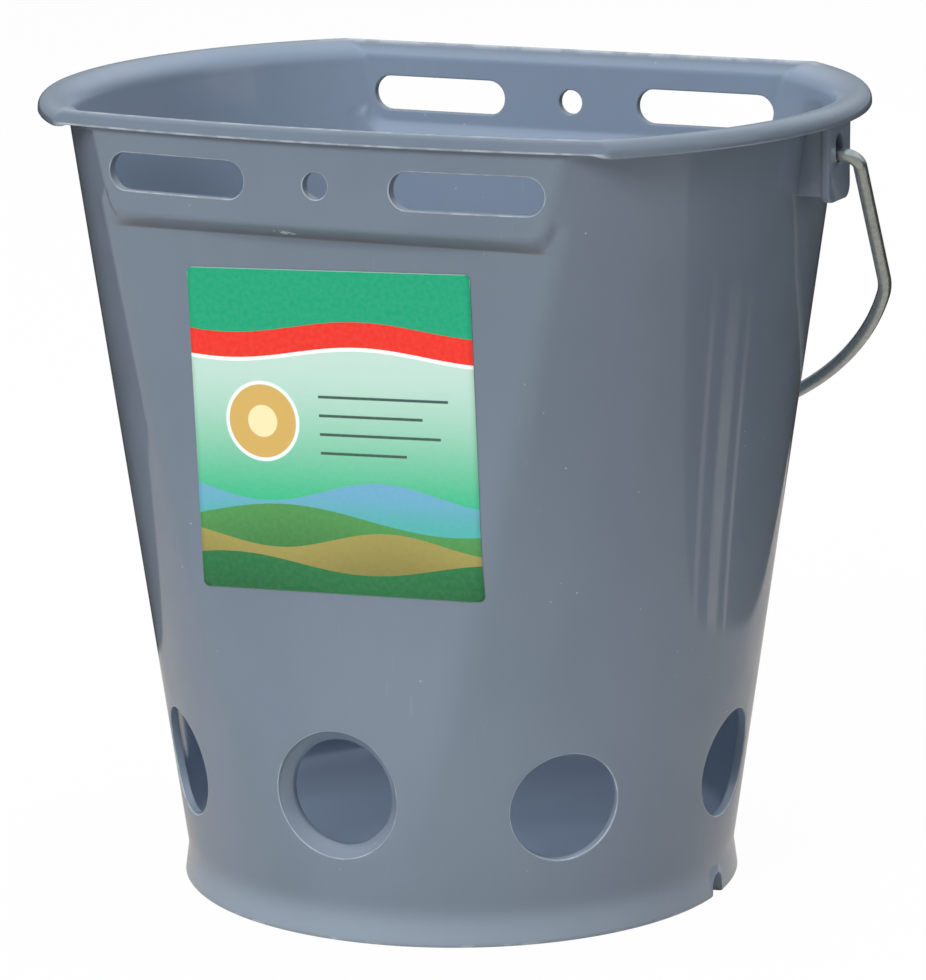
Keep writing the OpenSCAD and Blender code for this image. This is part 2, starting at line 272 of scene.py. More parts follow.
def rim_rows():
    """Section of the rim, row by row, from the outer wall over the crest to the inner wall.

    Gives radius and height on the round ends, and distance from the panel's face and height over
    the panels: a flare of radius 5, a turned-down edge, a roll of radius 4 and an inner flare of
    radius 8 on the ends; a lip that slopes down and out, and an inner chamfer, over the panels.
    """
    flare, roll = (131, 257), (132.1, 261)

    def sweep(start, stop, count):
        return np.radians(np.linspace(start, stop, count))

    def line(points, count):
        points = np.array(points, float)
        way = np.concatenate([[0], np.cumsum(np.hypot(*np.diff(points, axis=0).T))])
        at = np.linspace(0, way[-1], count)
        return np.stack([np.interp(at, way, points[:, 0]), np.interp(at, way, points[:, 1])], 1)

    ends = np.concatenate([
        arc(*flare, 5, sweep(180, 90, 7)),
        line([(132.3, 262), (133.2, 261.9), (133.5, 261.5), (133.5, 260)], 4),
        line([(133.8, 259.6), (134.2, 259.5), (135.4, 259.5), (135.9, 259.7), (136.1, 260.2)], 5),
        arc(*roll, 4, sweep(0, 90, 8)),
        arc(*flare, 8, sweep(90, 180, 10))])
    panels = np.concatenate([
        line([(0, 257), (0, 260.0), (0.15, 260.3)], 7),
        line([(0.5, 260.4), (1.9, 260.4)], 4),
        line([(2.15, 260.45), (2.4, 260.53), (2.52, 260.7), (2.54, 260.95), (2.5, 261.3)], 5),
        line([(2.42, 261.8), (2.0, 264.0), (1.75, 264.55), (1.3, 264.9), (0.7, 265)], 8),
        line([(-0.4, 265), (-0.75, 264.93), (-1.0, 264.7), (-2.75, 260.7), (-3, 260.1), (-3, 257)], 10)])
    return ends, panels


def rim_ring(end, panel, crease):
    """Ring of one rim row: the softened lower of the round section and the lip, with heights mixed alike."""
    heights = []

    def y_of_x(x, side):
        round_y, lip = np.sqrt(end[0] ** 2 - x ** 2), panel_face(x, 0, side) + panel[0]
        heights.append(mix(end[1], panel[1], np.clip(0.5 + 0.5 * (round_y - lip) / crease, 0, 1)))
        return soft_min(round_y, lip, crease)

    xy = around(end[0], y_of_x, 1.0)
    level = np.full(len(ROUND_T), end[1])
    return np.column_stack([xy, np.concatenate([heights[0], level, heights[1], level])])


def on_lips(along_lip, along_end):
    """A value for each column of a ring: one along the front and back lips, another round the ends."""
    lip_end, fade = 90, 8
    lip = mix(along_lip, along_end, ramp((np.abs(FRONT_X) - lip_end) / fade))
    end = np.full(len(ROUND_T), along_end)
    return np.concatenate([lip, end, lip, end])


def outlet_frame(angle):
    """Local coordinates of a plain outlet at a polar angle: a across and b up the wall.

    Returns functions from places to (a, b) and back for the skin inset from the outer one, and the
    direction of the bore outwards, which is square to the wall.
    """
    c, s = np.cos(angle), np.sin(angle)

    def local(p, inset):
        return np.stack([p[:, 1] * c - p[:, 0] * s, (p[:, 2] - OUTLET_Z - inset * np.sin(LEAN)) / np.cos(LEAN)], 1)

    def place(ab, inset):
        z = OUTLET_Z + inset * np.sin(LEAN) + ab[:, 1] * np.cos(LEAN)
        out = np.sqrt((body_radius(z) - inset) ** 2 - ab[:, 0] ** 2)
        return np.stack([out * c - ab[:, 0] * s, out * s + ab[:, 0] * c, z], 1)

    return local, place, np.array([c * np.cos(LEAN), s * np.cos(LEAN), -np.sin(LEAN)])


def front_frame(x0, z0, side):
    """Local coordinates of a hole in the front (side -1) or back (side 1) wall: a along X and b up."""
    def local(p, inset):
        return np.stack([p[:, 0] - x0, p[:, 2] - z0], 1)

    def place(ab, inset):
        x, z = ab[:, 0] + x0, ab[:, 1] + z0
        return np.stack([x, side * wall_depth(x, z, inset, side), z], 1)

    return local, place, np.array([0.0, side, 0.0])


def stadium(ab, run, radius):
    """Nearest points to ab of a round-ended outline: a core line of half length run, grown by radius."""
    core = np.stack([np.clip(ab[:, 0], -run, run), 0 * ab[:, 1]], 1)
    way = ab - core
    return core + radius * way / np.linalg.norm(way, axis=1, keepdims=True)


def edge_rings(edge, run, radius, fillet):
    """Quarter round over a hole's edge: outlines from radius + fillet to radius, with their depths."""
    a = np.radians([0, 30, 60, 90])
    return [(stadium(edge, run, radius + fillet * (1 - np.sin(t))), fillet * (1 - np.cos(t))) for t in a]


def open_hole(shell, outer, inner, place_of, run, radius, fillet, swell=0.0, seat=False):
    """Replaces a window of both skins by a hole.

    Rings run from the window's edge to the hole's outline, over a rounded edge, through the bore
    and out again over the inner skin, which swells inwards round a slot. A seat is the front
    outlet's dish, with a thick ring behind it.
    """
    steps = (0.3, 0.6, 0.85)
    local, place, axis = place_of
    out_ab, in_ab = local(shell.at(outer), 0), local(shell.at(inner), WALL)
    rings = [outer]
    for f in steps:
        rings.append(shell.add(place(mix(out_ab, stadium(out_ab, run, radius + fillet), f), 0)))
    for ab, depth in edge_rings(out_ab, run, radius, fillet):
        rings.append(shell.add(place(ab, 0) - depth * axis, cut=float(0 < depth < 0.9 * fillet)))
    if seat:
        for r, depth in SEAT_SECTION:
            ab = stadium(out_ab, 0, r)
            on_ring = np.stack([ab[:, 0], np.full(len(ab), depth - FLAT), ab[:, 1] + SEAT_Z], 1)
            rings.append(shell.add(place(ab, depth) if r > SEAT_RING else on_ring))
        edge = SEAT_FOOT
    else:
        for ab, depth in edge_rings(in_ab, run, radius, fillet)[::-1]:
            rings.append(shell.add(place(ab, WALL + swell) + depth * axis, inner=1.0 - depth / fillet))
        edge = radius + fillet
    for f in steps[::-1]:
        rings.append(shell.add(place(mix(in_ab, stadium(in_ab, run, edge), f), WALL + swell * ramp(f)), inner=1.0))
    rings.append(inner)
    shell.loft(rings)


def bucket_mesh():
    """Whole moulding as one closed skin.

    Rows run from the middle of the underside out over the skirt, up the outer wall, over the rim,
    down the inner wall and in over the floor. Windows of the two walls become the outlets, slots and holes.
    """
    underside = [(r, UNDER_FLOOR) for r in (18.0, 45.0, 70.0, 85.0)] + [(87.6, 12.0), (88.7, 11.6), (89.1, 10.6)]
    skirt = ((SKIRT, 8.0), (SKIRT, 5.0), (SKIRT, 2.5), (89.3, 0.6), (89.7, 0.1), (90.3, 0.0), (92.5, 0.0),
             (93.1, 0.12), (93.45, 0.6))
    foot_heights, waist_heights = (1.6, 3.2, 5.0, 6.8, 8.4, 9.3), (10.2, 11.2, 12.6, 14.6, 17.2)
    heights = np.concatenate([
        np.linspace(20, 73, 21), np.linspace(82, 222, 13), [225.5, 228.2, 228.8, 229.0, 229.6, 230.5, 231.4],
        np.linspace(232.1, 237.4, 10), np.linspace(238.4, 255.7, 15)])
    # Rows of the rim over which its crease sharpens from either end, and over which the inside's painted lighter tone
    # sets in
    crease_rows, lit_inside_rows = 8, 5
    shell = Shell()
    rows = []

    def row(points, cut=0.0, inner=0.0):
        rows.append(shell.add(points, cut, inner))

    for r, z in underside:
        row(round_ring(r, z, 0))
    for r, z in skirt:
        row(notched(round_ring(r, z, 0)))
    for z in foot_heights:
        row(notched(wall_ring(z, 0)))
    for z in waist_heights:
        row(wall_ring(z, 0))
    first = len(rows)
    for z in heights:
        row(wall_ring(z, 0))
    rim = list(zip(*rim_rows()))
    for k, (end, panel) in enumerate(rim):
        # Painted highlight: pale lines along the rim's outer edge and crest, carried by the cut-edge mark
        edge, crest = EDGE_HIGHLIGHT.get(k, 0.0), CREST_HIGHLIGHT.get(k, 0.0)
        crease = mix(PANEL_CREASE, LIP_CREASE, ramp(min(k, len(rim) - 1 - k) / crease_rows))
        row(rim_ring(end, panel, crease), on_lips(edge + crest, edge * 0.5), ramp((k - INSIDE_ROW) / lit_inside_rows))
    for z in heights[::-1]:
        row(wall_ring(z, WALL), inner=1.0)
    last = len(rows) - 1
    for x, z in arc(FILLET_AT, 0, FLOOR_FILLET, np.radians([20, 45, 70, 90])):
        row(round_ring(x, FLOOR + FLOOR_FILLET - z, FLOOR), inner=1.0)
    for r in (80.0, 60.0, 35.0, 14.0):
        row(round_ring(r, FLOOR, FLOOR), inner=1.0)
    grid = np.array(rows)
    kept = np.ones((len(grid) - 1, grid.shape[1]), bool)

    def window(low, high, columns):
        """Closed outlines of a window on both skins, and the quads inside it taken out."""
        r0, r1 = (first + int(np.argmin(np.abs(heights - z))) for z in (low, high))
        twin0, twin1 = first + last - r0, first + last - r1
        c0, c1 = columns[0], columns[-1]

        def outline(bottom, top, step):
            rise = np.arange(bottom, top, step)
            return np.concatenate([
                grid[bottom, columns[:-1]], grid[rise, c1], grid[top, columns[:0:-1]], grid[rise[::-1] + step, c0]])

        kept[r0:r1, columns[:-1]] = False
        kept[twin1:twin0, columns[:-1]] = False
        return outline(r0, r1, 1), outline(twin0, twin1, -1)

    # Windows, which snap to rows and columns: heights of an outlet's and the seat's, half angle of an outlet's,
    # half widths of the seat's, a slot's and a hole's, and half height of the last two
    outlet_span, seat_span, outlet_swing = (25, 68), (20, 78), 14.2
    seat_half, slot_half, hole_half, slot_rise = 28.5, 26.2, 8.0, 8.6
    # A row through the outlets gives each column's polar angle
    outlet_row = first + 9
    angle = np.degrees(np.arctan2(*shell.at(grid[outlet_row])[:, 1::-1].T))
    for at in OUTLETS:
        off = (angle - at + 180) % 360 - 180
        inside = np.where(np.abs(off) < outlet_swing)[0]
        cut = window(*outlet_span, inside[np.argsort(off[inside])])
        open_hole(shell, *cut, outlet_frame(np.radians(at)), 0, OUTLET_R, OUTLET_EDGE)
    cut = window(*seat_span, np.where(np.abs(FRONT_X) < seat_half / spread(SEAT_Z))[0])
    open_hole(shell, *cut, front_frame(0, SEAT_Z, -1), 0, SEAT_R, SEAT_EDGE, seat=True)
    for side, base, swell in ((-1, 0, SLOT_SWELL), (1, grid.shape[1] // 2, 0.0)):
        for x0, run, radius, half in ((-SLOT_X, SLOT_RUN, SLOT_R, slot_half), (0, 0, HOLE_R, hole_half),
                                      (SLOT_X, SLOT_RUN, SLOT_R, slot_half)):
            inside = base + np.where(np.abs(-side * FRONT_X - x0) < half)[0]
            cut = window(SLOT_Z - slot_rise, SLOT_Z + slot_rise, inside)
            open_hole(shell, *cut, front_frame(x0, SLOT_Z, side), run, radius, SLOT_EDGE, swell)

    faces = np.stack([grid[:-1], np.roll(grid[:-1], -1, 1), np.roll(grid[1:], -1, 1), grid[1:]], -1)
    shell.quads.append(faces[kept])
    shell.close(grid[0], shell.add([0, 0, UNDER_FLOOR])[0], last=False)
    shell.close(grid[-1], shell.add([0, 0, FLOOR])[0], last=True)
    return shell.mesh("bucket")


def ear_plate(shell, side):
    """Ear plate at one end: an outline with round lower corners and an oval hole.

    Rings run from the hole out over the front face, round the outline's edge and back over the
    rear face, so the plate closes on itself through the hole.
    """
    face, thick, half, low, top, corner, fillet = 134.0, 2.8, 9.7, 235.0, 262.6, 4.0, 0.45
    foot_half, top_half = 4.6, 8.5
    eye, eye_run, eye_r, middle = np.array([0.0, 251.8]), 1.5, 3.25, np.array([0.0, 248.5])
    a = np.radians(np.linspace(0, 90, 9))
    right = np.stack([half - corner + corner * np.sin(a), low + corner - corner * np.cos(a)], 1)
    outline = np.concatenate([
        np.stack([np.linspace(-foot_half, foot_half, 8), np.full(8, low)], 1), right,
        np.stack([np.full(16, half), np.linspace(low + corner + 1, top, 16)], 1),
        np.stack([np.linspace(top_half, -top_half, 14), np.full(14, top)], 1),
        np.stack([np.full(16, -half), np.linspace(top, low + corner + 1, 16)], 1), right[::-1] * [-1, 1]])
    from_eye = (outline - eye)[:, ::-1]
    outward = outline - middle
    outward /= np.linalg.norm(outward, axis=1, keepdims=True)

    def hole(grow):
        return stadium(from_eye, eye_run, eye_r + grow)[:, ::-1] + eye

    def edge(shrink):
        return outline - shrink * outward

    front = [(hole(0), fillet), (hole(0.15), 0.12), (hole(fillet), 0), (mix(hole(0), outline, 0.35), 0),
             (mix(hole(0), outline, 0.7), 0), (edge(fillet), 0), (edge(0.12), 0.13), (edge(0), fillet)]
    back = [(yz, thick - depth) for yz, depth in front[::-1]]
    rings = [shell.add(np.column_stack([np.full(len(yz), face - depth), yz]) * [side, side, 1])
             for yz, depth in front + back]
    shell.loft((rings + rings[:1])[::-1])


def ear_webs(shell, side):
    """The two webs that carry an ear plate: a rounded rectangle from the wall to the plate, carried up Z."""
    root, end, middle, half_thick, squareness = 1.5, 131.6, 7.4, 1.2, 0.22
    section = ((237.0, 0.7), (237.15, 0.25), (237.5, 0), (242, 0), (248, 0), (254, 0), (258, 0), (262.2, 0))
    u = np.linspace(0, 2 * np.pi, 32, endpoint=False)
    along, across = (np.sign(v) * np.abs(v) ** squareness for v in (np.cos(u), np.sin(u)))
    for sign in (-1, 1):
        rings = []
        for z, draw in section:
            x = mix(cone(z) - root, end - draw, 0.5 + 0.5 * along)
            y = sign * middle + (half_thick - draw) * across
            rings.append(shell.add(at_height(np.column_stack([x, y]), z) * [side, side, 1]))
        shell.loft(rings)
        for ring, last in ((rings[0], False), (rings[-1], True)):
            shell.close(ring, shell.add(shell.at(ring).mean(0))[0], last)


def ear_mesh(name, side):
    """Ear at one end (side 1 right, -1 left): its plate and the two webs behind it."""
    shell = Shell()
    ear_plate(shell, side)
    ear_webs(shell, side)
    return shell.mesh(name)


# ---------------------------------------------------------------- bail and label

def bail_mesh():
    """Wire of 4.5 mm along the bail's line.

    The line lies in a plane through the pivot: a level end, a bend of radius 4.5, an arm that leans
    in 5 degrees, a shoulder of radius 30 and a bow of radius 143.85 about a point 14.2 below the
    pivot, then the same mirrored. A circle is carried along it, and the plane hangs at the rest angle.
    """
    wire, hook_x, arm_x, hook_r = 2.25, 128.0, 139.654, 4.5
    lean, shoulder, bow_r, drop, arm_l, shoulder_r = np.radians(5), np.radians(22.979), 143.854, 14.2, 56.586, 30.0
    rounded_end = ((1.5, 0.0), (2.05, 0.15), (wire, 0.6))
    pin = np.stack([np.linspace(hook_x, arm_x - hook_r, 6), np.zeros(6)], 1)
    bend = arc(arm_x - hook_r, hook_r, hook_r, np.linspace(-np.pi / 2, lean, 12))[1:]
    arm_end = bend[-1] + arm_l * np.array([-np.sin(lean), np.cos(lean)])
    arm = mix(bend[-1], arm_end, np.linspace(0, 1, 14)[1:, None])
    turn_c = arm_end - shoulder_r * np.array([np.cos(lean), np.sin(lean)])
    turn = arc(*turn_c, shoulder_r, np.linspace(lean, shoulder, 8))[1:]
    bow = arc(0, drop, bow_r, np.linspace(shoulder, np.pi / 2, 46))[1:]
    half = np.concatenate([pin, bend, arm, turn, bow])
    line = np.concatenate([half, half[-2::-1] * [-1, 1]])
    way = np.gradient(line, axis=0)
    way /= np.linalg.norm(way, axis=1, keepdims=True)
    side = np.stack([way[:, 1], -way[:, 0]], 1)
    hang = np.array([[1, 0, 0], [0, np.sin(REST), -np.cos(REST)]])
    across = np.array([0, np.cos(REST), np.sin(REST)])
    u = np.linspace(0, 2 * np.pi, 24, endpoint=False)
    centre = line @ hang + [0, 0, PIVOT_Z]
    shell = Shell()

    def ring(k, r, back):
        at = centre[k] + back * (way[k] @ hang)
        return shell.add(at + r * (np.cos(u)[:, None] * (side[k] @ hang) - np.sin(u)[:, None] * across))

    rings = [ring(0, r, back) for r, back in rounded_end]
    rings += [ring(k, wire, 0) for k in range(1, len(line) - 1)]
    rings += [ring(-1, r, -back) for r, back in rounded_end[::-1]]
    shell.loft(rings)
    shell.close(rings[0], shell.add(centre[0])[0], last=False)
    shell.close(rings[-1], shell.add(centre[-1])[0], last=True)
    return shell.mesh("bail")


def label_mesh():
    """Label laid on the front wall: a round-cornered, tilted grid that follows the wall 0.3 mm out.

    Rows shrink at both ends to round the corners, and a band of quads joins the front grid to one
    just off the wall. Its own map holds millimetres from the middle over 100.
    """
    width, height, corner, thick, glue = 98.4, 103.4, 2.0, 0.3, 0.02
    x0, z0, tilt = 1.2, 167.4, np.radians(2.2)
    bend = 1 - np.cos(np.linspace(0, np.pi / 2, 8))
    rise = np.linspace(corner, height - corner, 40)[1:-1]
    v = np.concatenate([corner * bend, rise, height - corner * bend[::-1]]) - height / 2
    u = np.linspace(-1, 1, 45)
    cut = np.maximum(np.abs(v) - (height / 2 - corner), 0)
    half = width / 2 - corner + np.sqrt(np.maximum(corner ** 2 - cut ** 2, 0))
    flat = np.stack([u[None, :] * half[:, None], np.broadcast_to(v[:, None], (len(v), len(u)))], -1)
    shell = Shell()

    def on_wall(lift):
        a, b = flat.reshape(-1, 2).T
        x = x0 + a * np.cos(tilt) - b * np.sin(tilt)
        z = z0 + a * np.sin(tilt) + b * np.cos(tilt)
        return shell.add(np.stack([x, -wall_depth(x, z, 0, -1) - lift, z], 1)).reshape(flat.shape[:2])

    def border(grid):
        return np.concatenate([grid[0, :-1], grid[:-1, -1], grid[-1, :0:-1], grid[:0:-1, 0]])

    face, back = on_wall(thick), on_wall(glue)
    shell.quads.append(np.stack([face[:-1, :-1], face[:-1, 1:], face[1:, 1:], face[1:, :-1]], -1).reshape(-1, 4))
    shell.bridge(border(back), border(face))
    shell.quads.append(np.stack([back[:-1, :-1], back[1:, :-1], back[1:, 1:], back[:-1, 1:]], -1).reshape(-1, 4))
    mesh = shell.mesh("label")
    place = np.empty(len(mesh.vertices) * 3, np.float32)
    mesh.vertices.foreach_get("co", place)
    place = place.reshape(-1, 3) / MM - [x0, 0, z0]
    print_map = np.stack([place[:, 0] * np.cos(tilt) + place[:, 2] * np.sin(tilt),
                          place[:, 2] * np.cos(tilt) - place[:, 0] * np.sin(tilt)], 1) / 100
    corner_of = np.empty(len(mesh.loops), np.int32)
    mesh.loops.foreach_get("vertex_index", corner_of)
    mesh.uv_layers.new(name="print").data.foreach_set("uv", print_map[corner_of].astype(np.float32).ravel())
    return mesh


# ---------------------------------------------------------------- finishes

class Shade:
    """A shader socket in Python arithmetic: each operation adds a Math node to its tree."""

    def __init__(self, tree, socket=None):
        self.tree, self.socket = tree, socket

    def node(self, kind, settings=None, sockets=None, out=0):
        """Adds a node: its type, its settings, then the values or links of its sockets; returns one output."""
        made = self.tree.nodes.new(kind)
        for key, value in (settings or {}).items():
            setattr(made, key, value)
        for key, value in (sockets or {}).items():
            if isinstance(value, Shade):
                self.tree.links.new(value.socket, made.inputs[key])
            else:
                made.inputs[key].default_value = value
        return Shade(self.tree, made.outputs[out] if made.outputs else None)

    def math(self, operation, *values):
        """Math node of an operation on values."""
        return self.node("ShaderNodeMath", {"operation": operation}, dict(enumerate(values)))

    def __add__(self, other): return self.math("ADD", self, other)
    def __sub__(self, other): return self.math("SUBTRACT", self, other)
    def __mul__(self, other): return self.math("MULTIPLY", self, other)
    def __truediv__(self, other): return self.math("DIVIDE", self, other)
    def __rsub__(self, other): return self.math("SUBTRACT", other, self)
    def __rtruediv__(self, other): return self.math("DIVIDE", other, self)
    def __abs__(self): return self.math("ABSOLUTE", self)
    __radd__, __rmul__ = __add__, __mul__

    def step(self, low, high):
        """Smooth step of this value from 0 at low to 1 at high."""
        return self.node("ShaderNodeMapRange", {"interpolation_type": "SMOOTHSTEP"},
                         {"Value": self, "From Min": low, "From Max": high})

    def blend(self, a, b):
        """Colour a where this value is 0 and b where it is 1."""
        paint = [v if isinstance(v, Shade) else (*v, 1) for v in (a, b)]
        return self.node("ShaderNodeMix", {"data_type": "RGBA"}, {"Factor": self, 6: paint[0], 7: paint[1]}, out=2)

    def noise(self, where, scale, detail=3.0, rough=0.5, stretch=(1, 1, 1)):
        """Noise of a scale per unit at a place, drawn out by a stretch."""
        at = self.node("ShaderNodeMapping", {}, {"Vector": where, "Scale": stretch})
        return self.node("ShaderNodeTexNoise", {}, {"Vector": at, "Scale": scale, "Detail": detail, "Roughness": rough})

    def parts(self, vector, count):
        """The first numbers of a vector."""
        return [self.node("ShaderNodeSeparateXYZ", {}, {0: vector}, out=i) for i in range(count)]

    def surface(self, sockets):
        """Ends a finish: a Principled shader with these sockets, put on the surface."""
        self.node("ShaderNodeOutputMaterial", {}, {"Surface": self.node("ShaderNodeBsdfPrincipled", {}, sockets)})


def empty_tree(owner):
    """Emptied node tree of a material or world, as a Shade to build on."""
    owner.use_nodes = True
    owner.node_tree.nodes.clear()
    return Shade(owner.node_tree)


def moulded_plastic():
    """Blue-grey polypropylene under a clear gloss, with light painted in: paler towards the foot and inside.

    Faint mottle and flow, fine grain, pale specks and scratches, raw cut edges, a nicked foot whose pale band is
    partly rubbed wear and partly painted light, painted highlight lines along the rim's outer edge and crest,
    one scuff on the front panel's lower edge, and painted shade in the corner under the panels.
    """
    outer_dark, outer_pale = (0.160, 0.202, 0.258), (0.184, 0.228, 0.286)
    # Inside tones: the same plastic painted lighter, standing in for the light inside the bucket
    inner_dark_painted_lit, inner_pale_painted_lit = (0.206, 0.262, 0.350), (0.230, 0.290, 0.382)
    # Painted shade for the corner under the panels, rubbed wear with painted light for the foot's pale band, and the
    # pale of bared plastic, which also paints the rim's highlight lines
    painted_shade, rubbed_and_lit, bared_and_highlight = (0.085, 0.080, 0.080), (0.29, 0.35, 0.42), (0.56, 0.60, 0.64)
    scuff_x, scuff_z, scuff_w, scuff_h = -0.0126, 0.2310, 0.007, 0.0018
    made = bpy.data.materials.new("grey_polypropylene")
    s = empty_tree(made)
    where = s.node("ShaderNodeTexCoord", out="Object")
    x, y, z = s.parts(where, 3)
    inner, cut = (
        s.node("ShaderNodeAttribute", {"attribute_name": mark}, out="Fac") for mark in ("inner_skin", "cut_edge_and_highlight"))
    mottle = s.noise(where, 9, 4, 0.55)
    flow = s.noise(where, 26, 5, 0.6, (1, 1, 0.18))
    grain = s.noise(where, 1100, 2, 0.6)
    nick = s.noise(where, 170, 3)
    haze = s.noise(where, 48, 4, 0.6).step(0.35, 0.75)
    tone = (mottle * 0.6 + flow * 0.4).step(0.3, 0.7)
    # Painted light: the outside darkens by up to 15.5% from 40 mm to 210 mm up, so the lower wall reads as more
    # strongly lit
    outside = (z.step(0.04, 0.21) * 0.155).blend(tone.blend(outer_dark, outer_pale), (0, 0, 0))
    colour = inner.blend(outside, tone.blend(inner_dark_painted_lit, inner_pale_painted_lit))
    # Painted shade: the corner at the root of the panels' slope, where the panel above shades it, is darkened
    corner = z.step(0.2284, 0.2290) * (1 - z.step(0.2291, 0.2335)) * abs(y).step(0.091, 0.093)
    corner = corner * (1 - abs(x).step(0.070, 0.078)) * (1 - inner)
    colour = (corner * 0.62).blend(colour, painted_shade)
    # Rubbed wear and painted light: the foot is paler up to 16 mm, fully below 3 mm, for its wear and for the light its
    # flare catches
    foot_wear_and_light = (1 - z.step(0.003, 0.016)) * (0.55 + mottle * 0.35)
    colour = foot_wear_and_light.blend(colour, rubbed_and_lit)
    spots = s.node("ShaderNodeTexVoronoi", {"feature": "F1"}, {"Vector": where, "Scale": 150, "Randomness": 1})
    specks = (1 - spots.step(0.025, 0.06)) * s.noise(where, 37, 1).step(0.54, 0.62)
    lines = s.noise(where, 60, 2, 0.5, (11, 11, 1.2))
    scratch = lines.step(0.700, 0.722) * s.noise(where, 14, 2).step(0.52, 0.64)
    foot = (1 - z.step(0.0003, 0.0014)) * nick.step(0.52, 0.66)
    # The cut-edge mark holds raw cut edges of the holes and the rim's painted highlight lines, so these pale marks are
    # partly real and partly painted highlight
    raw_edge_and_highlight = cut * (0.45 + nick.step(0.40, 0.62) * 0.55)
    off_x, off_z = x - scuff_x, z - scuff_z
    rub = off_x * off_x / scuff_w ** 2 + off_z * off_z / scuff_h ** 2 + s.noise(where, 620, 2) * 1.7
    marks = (1 - rub.step(0.75, 1.15)) * (1 - y.step(-0.09, -0.08)) * (1 - inner)
    for mark in (specks * 0.55, scratch * 0.05, foot * 0.55, raw_edge_and_highlight * 0.62):
        marks = s.math("MAXIMUM", marks, mark)
    bump = s.node("ShaderNodeBump", {}, {"Strength": 0.10, "Distance": 0.0004,
                                         "Height": grain * 0.25 + flow * 0.5 + marks * 0.5})
    s.surface({"Base Color": marks.blend(colour, bared_and_highlight), "Normal": bump,
               "Roughness": 0.36 + haze * 0.10 + marks * 0.25 + grain * 0.04,
               "Coat Weight": 0.95 - haze * 0.18 - marks * 0.5, "Coat Roughness": 0.07, "Coat IOR": 1.45,
               "IOR": 1.49, "Specular IOR Level": 0.3})
    return made


def galvanised_wire():
    """Zinc-coated steel wire: smooth grey with a fine spangle, drawn streaks and a few olive patches laid at random."""
    dull, bright, olive = (0.43, 0.465, 0.44), (0.52, 0.555, 0.53), (0.25, 0.265, 0.215)
    made = bpy.data.materials.new("galvanised_wire")
    s = empty_tree(made)
    where = s.node("ShaderNodeTexCoord", out="Object")
    spangle = s.noise(where, 420, 3, 0.6)
    streak = s.noise(where, 60, 4, 0.65)
    olive_patch = s.noise(where, 35, 2).step(0.50, 0.68)
    colour = (olive_patch * 0.35).blend(spangle.step(0.35, 0.65).blend(dull, bright), olive)
    bump = s.node("ShaderNodeBump", {}, {"Strength": 0.04, "Distance": 0.0003, "Height": spangle + streak * 0.5})
    s.surface({"Base Color": colour, "Roughness": 0.18 + streak * 0.10 + olive_patch * 0.08, "Normal": bump, "Metallic": 0.9})
    return made


